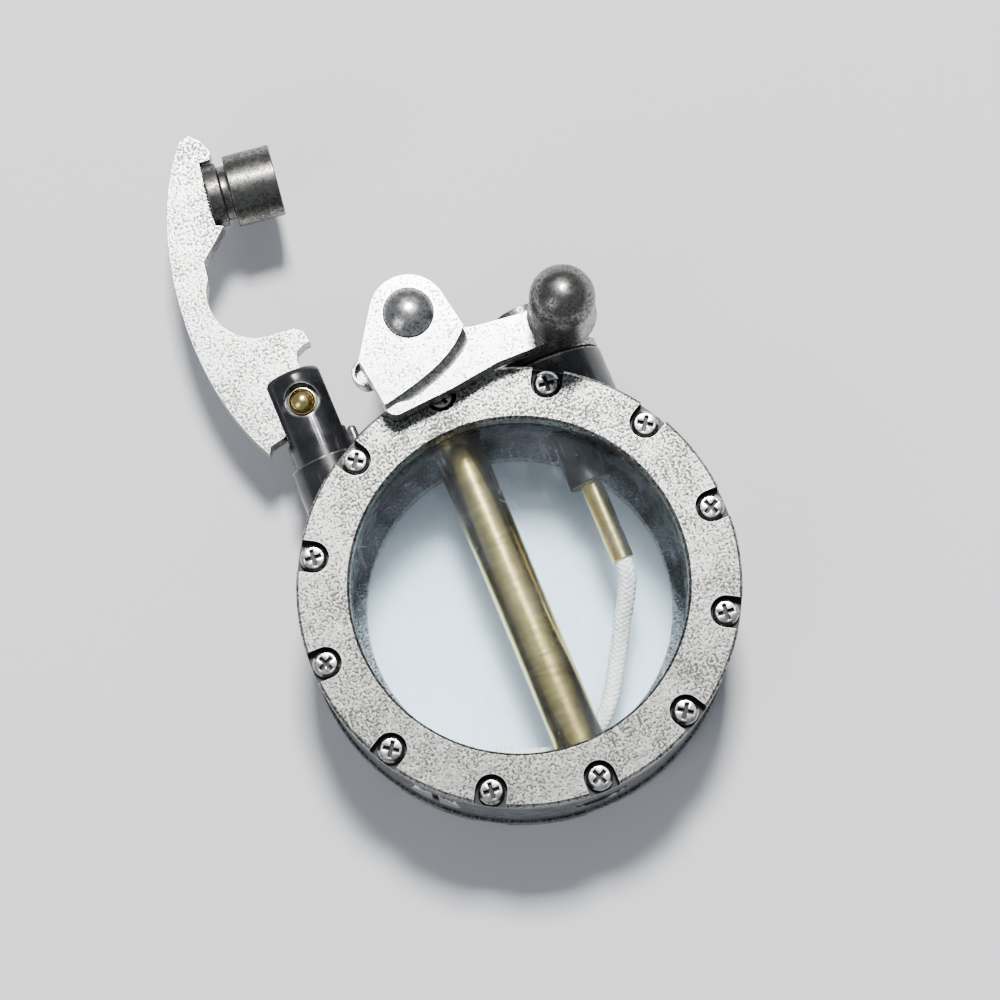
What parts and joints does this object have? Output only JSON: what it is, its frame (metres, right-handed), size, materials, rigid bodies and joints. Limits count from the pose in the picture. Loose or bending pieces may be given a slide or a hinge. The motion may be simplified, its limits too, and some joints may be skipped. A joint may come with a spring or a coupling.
{
  "type": "lighter",
  "caption": "Round window-sided fuel lighter with a thumb lever, striker wheel and a swinging arm whose cap snuffs the wick.",
  "frame": {"origin": "on the axis of the round tank, in the rear bezel's outer face", "axes": "+Z out of the front window along the tank axis, +Y across the tank towards the striker wheel, +X to the wick's side"},
  "size_m": [0.05, 0.0905, 0.0346],
  "materials": {
    "black_paint": "worn satin black over steel",
    "antique_silver": "antiqued, brushed, dark speckle",
    "silver": "brushed",
    "lever_silver": "bright brushed",
    "dark_steel": "antiqued, dark speckle",
    "steel": "turned",
    "spring_steel": "drawn wire",
    "hard_steel": "cut teeth",
    "brass": "polished, aged",
    "flint": "matt",
    "window": "clear, lightly scratched",
    "rubber": "matt",
    "cotton": "braided"
  },
  "bodies": {
    "case": {"body_shell": "black_paint", "arm_post": "black_paint", "front_bezel": "antique_silver", "rear_bezel": "antique_silver", "wheel_bracket": "silver", "wick_holder": "silver", "front_screws": "steel", "rear_screws": "steel", "bracket_screws": "steel", "wheel_axle": "steel", "axle_clip": "steel", "stop_pin": "steel", "spring_pin": "steel", "flint_spring": "spring_steel", "arm_plunger_spring": "spring_steel", "lever_spring": "spring_steel", "flint_tube": "brass", "wick_ferrule": "brass", "arm_pin": "brass", "front_window": "window", "rear_window": "window", "front_gasket": "rubber", "rear_gasket": "rubber", "filler_seal": "rubber", "holder_seal": "rubber", "wick_core": "cotton", "wick_tail": "cotton"},
    "arm": {"snuffer_arm": "silver", "snuffer_cap": "dark_steel"},
    "grip_plunger": {"arm_plunger": "steel"},
    "lever": {"thumb_lever": "lever_silver", "thumb_knob": "dark_steel", "ratchet_sleeve": "steel"},
    "wheel": {"flint_wheel": "hard_steel"},
    "flint_feeder": {"flint": "flint", "flint_plunger": "brass"},
    "flint_plug": {"flint_screw": "dark_steel"},
    "filler_plug": {"filler_screw": "steel"}
  },
  "joints": [
    {"name": "arm_swing", "type": "hinge", "parent": "case", "child": "arm", "pos_m": [-0.0145, 0.0305, 0.01], "axis": [0, 0, 1], "range_deg": [-83, 0]},
    {"name": "lever_press", "type": "hinge", "parent": "case", "child": "lever", "pos_m": [0, 0.0326, 0.022], "axis": [0, 0, 1], "range_deg": [-15, 0], "stiffness_Nm_per_rad": 0.01, "springref_deg": 57.3},
    {"name": "wheel_spin", "type": "hinge", "parent": "case", "child": "wheel", "pos_m": [0, 0.0326, 0.01], "axis": [0, 0, 1], "range_deg": [-15, 0]},
    {"name": "arm_grip", "type": "slide", "parent": "case", "child": "grip_plunger", "axis": [0, -1, 0], "range_m": [0, 0.0003], "stiffness_N_per_m": 200, "springref_m": -0.002, "deforming": ["arm_plunger_spring"]},
    {"name": "flint_feed", "type": "slide", "parent": "case", "child": "flint_feeder", "axis": [0, -1, 0], "range_m": [0, 0.003], "stiffness_N_per_m": 60, "springref_m": -0.02, "deforming": ["flint_spring"]},
    {"name": "flint_screw_out", "type": "slide", "parent": "case", "child": "flint_plug", "axis": [0, -1, 0], "range_m": [0, 0.006]},
    {"name": "filler_screw_out", "type": "slide", "parent": "case", "child": "filler_plug", "axis": [-0.7071, -0.7071, 0], "range_m": [0, 0.006]}
  ],
  "couplings": [
    {"joint": "wheel_spin", "follows": "lever_press", "ratio": 1}
  ]
}
